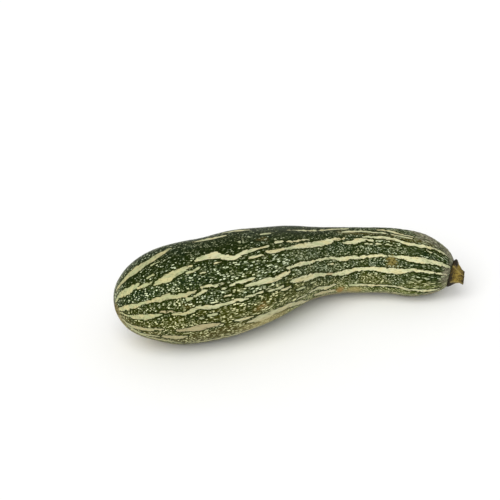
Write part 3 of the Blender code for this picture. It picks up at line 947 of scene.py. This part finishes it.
def stub_material(look):
    """Dried, fibrous stem wood with corky, blackened edges: rough, with no wax."""
    material, add, fill_surface = new_material("Squash stem, dried and fibrous")
    place = add("Attribute", {"attribute_name": "stub"}, {}).outputs["Vector"]
    ridge, height, reach, cut, knob, glow = (
        add("Attribute", {"attribute_name": name}, {}).outputs["Fac"]
        for name in ("ridge", "height", "reach", "cut", "knob", "glow")
    )
    mottle = add("TexNoise", {}, {"Vector": place, "Scale": 1 / MOTTLE_SIZE, "Detail": 3, "Roughness": 0.6})
    fibres = add("Mapping", {}, {"Vector": place, "Scale": drawn_out(0.2)})
    fibres = add("TexNoise", {}, {"Vector": fibres, "Scale": 1 / FIBRE_SIZE, "Detail": 3, "Roughness": 0.6})

    # Golden sides, with painted light on their middle, darker fibres, and painted highlights on the crests.
    wood = add("Math", TIMES_PLUS, {0: fibres, 1: 1.3, 2: mottle})
    # Painted light makes the middle of the sides more golden.
    wood = add("Math", TIMES_PLUS, {0: glow, 1: 0.25, 2: wood})
    wood = add("MapRange", EASE, ramp(wood, 1.02, 1.56))
    sides = add("Mix", MIX, {0: wood, 6: look.shade, 7: look.wood})
    # Painted highlight along the crests of the angles.
    pale_and_highlight = add("Math", TIMES_PLUS, {0: fibres, 1: 0.8, 2: ridge})
    pale_and_highlight = add("MapRange", EASE, ramp(pale_and_highlight, 0.75, 1.3, 0, 0.7))
    sides = add("Mix", MIX, {0: pale_and_highlight, 6: sides, 7: look.pale_and_highlight})

    # Blackened cork on the foot, on its knobs and along the rim of the cut.
    cork = add("Math", TIMES_PLUS, {0: height, 1: -0.12, 2: 0.12})
    cork = add("Math", TIMES_PLUS, {0: mottle, 1: 2.0, 2: cork})
    cork = add("Math", TIMES_PLUS, {0: knob, 1: 0.8, 2: cork})
    cork = add("MapRange", EASE, ramp(cork, 0.85, 1.25))
    sides = add("Mix", MIX, {0: cork, 6: sides, 7: look.cork})
    rim = add("Math", TIMES_PLUS, {0: mottle, 1: 2.0, 2: height})
    rim = add("MapRange", EASE, ramp(rim, 9.9, 10.9, 0, 0.9))
    sides = add("Mix", MIX, {0: rim, 6: sides, 7: look.cork})

    # The cut itself: pale fibres round a soft, darker pith.
    face = add("MapRange", EASE, ramp(reach, 1.2, 3.0))
    face = add("Mix", MIX, {0: face, 6: look.shade, 7: look.pale_and_highlight})
    inside = add("MapRange", EASE, ramp(reach, 5.0, 4.5))
    inside = add("Math", TIMES, {0: inside, 1: cut})
    sides = add("Mix", MIX, {0: inside, 6: sides, 7: face})

    bump = add("Bump", {}, {"Height": fibres, "Distance": FIBRE_HEIGHT * MM, "Strength": 0.7})
    fill_surface({"Base Color": sides, "Normal": bump, "Roughness": 0.75, "Specular IOR Level": 0.2})
    return material


class ZUCCHINI_OT_skin(bpy.types.Operator):
    """Builds the finished skin in place of the plain fruit"""

    bl_idname = "zucchini.skin"
    bl_label = "Build Skin"

    def execute(self, context):
        look = context.scene.zucchini_skin
        skin = make_skin(look)
        skin.data.materials.append(skin_material(look))
        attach(skin, "root")
        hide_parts("fruit")
        return {"FINISHED"}


class ZUCCHINI_OT_stem(bpy.types.Operator):
    """Builds the finished stem stub in place of the plain one"""

    bl_idname = "zucchini.stem"
    bl_label = "Build Stem Stub"

    def execute(self, context):
        look = context.scene.zucchini_stem
        stub = make_stub(look)
        stub.data.materials.append(stub_material(look))
        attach(stub, "root")
        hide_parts("peduncle")
        return {"FINISHED"}


class ZUCCHINI_OT_studio(bpy.types.Operator):
    """Sets the camera, the floor and the soft light"""

    bl_idname = "zucchini.studio"
    bl_label = "Set Studio"

    def execute(self, context):
        look = context.scene.zucchini_studio
        scene = context.scene
        shape = bmesh.new()
        bmesh.ops.create_grid(shape, x_segments=1, y_segments=1, size=FLOOR_REACH)
        mesh = bpy.data.meshes.new("floor")
        shape.to_mesh(mesh)
        shape.free()
        floor = bpy.data.objects.new("floor", mesh)
        scene.collection.objects.link(floor)
        material, _, fill_surface = new_material("Paper sweep, matte")
        fill_surface({"Base Color": look.floor, "Roughness": 0.9})
        mesh.materials.append(material)

        target = Vector(CAMERA_TARGET_MM) * MM
        level = math.cos(look.elevation)
        back = Vector(
            (math.sin(look.azimuth) * level, -math.cos(look.azimuth) * level, math.sin(look.elevation))
        )
        camera = bpy.data.objects.new("camera", bpy.data.cameras.new("camera"))
        camera.data.lens = look.lens
        camera.data.sensor_width = SENSOR_WIDTH_MM
        camera.data.clip_start = NEAREST_SEEN
        camera.location = target + back * look.distance
        camera.rotation_euler = (-back).to_track_quat("-Z", "Y").to_euler()
        scene.collection.objects.link(camera)
        scene.camera = camera

        lamp = bpy.data.lights.new("soft window", "SUN")
        lamp.energy = LAMP_STRENGTH
        lamp.angle = LAMP_WIDTH
        light = bpy.data.objects.new("soft window", lamp)
        light.location = LAMP_PLACE
        light.rotation_euler = (-light.location).to_track_quat("-Z", "Y").to_euler()
        scene.collection.objects.link(light)

        world = bpy.data.worlds.new("white room")
        world.use_nodes = True
        background = world.node_tree.nodes["Background"]
        background.inputs["Color"].default_value = (1, 1, 1, 1)
        background.inputs["Strength"].default_value = ROOM_STRENGTH
        scene.world = world
        scene.view_settings.view_transform = "Standard"
        return {"FINISHED"}


class ZUCCHINI_PT_panel(bpy.types.Panel):
    """Lists the zucchini's operators and their sizes"""

    bl_idname = "ZUCCHINI_PT_panel"
    bl_label = "Zucchini"
    bl_space_type = "VIEW_3D"
    bl_region_type = "UI"
    bl_category = "Zucchini"

    def draw(self, context):
        for operator, group in (
            ("zucchini.skin", context.scene.zucchini_skin),
            ("zucchini.stem", context.scene.zucchini_stem),
            ("zucchini.studio", context.scene.zucchini_studio),
        ):
            box = self.layout.box()
            for name in group.bl_rna.properties.keys():
                if name not in ("rna_type", "name"):
                    box.prop(group, name)
            box.operator(operator)


CLASSES = (
    SkinLook,
    StemLook,
    StudioLook,
    ZUCCHINI_OT_skin,
    ZUCCHINI_OT_stem,
    ZUCCHINI_OT_studio,
    ZUCCHINI_PT_panel,
)
GROUPS = {"zucchini_skin": SkinLook, "zucchini_stem": StemLook, "zucchini_studio": StudioLook}


def register():
    for part in CLASSES:
        bpy.utils.register_class(part)
    for name, group in GROUPS.items():
        setattr(bpy.types.Scene, name, PointerProperty(type=group))


def unregister():
    for name in GROUPS:
        delattr(bpy.types.Scene, name)
    for part in reversed(CLASSES):
        bpy.utils.unregister_class(part)


def main():
    register()
    bpy.ops.zucchini.skin()
    bpy.ops.zucchini.stem()
    bpy.ops.zucchini.studio()


if __name__ == "__main__":
    main()
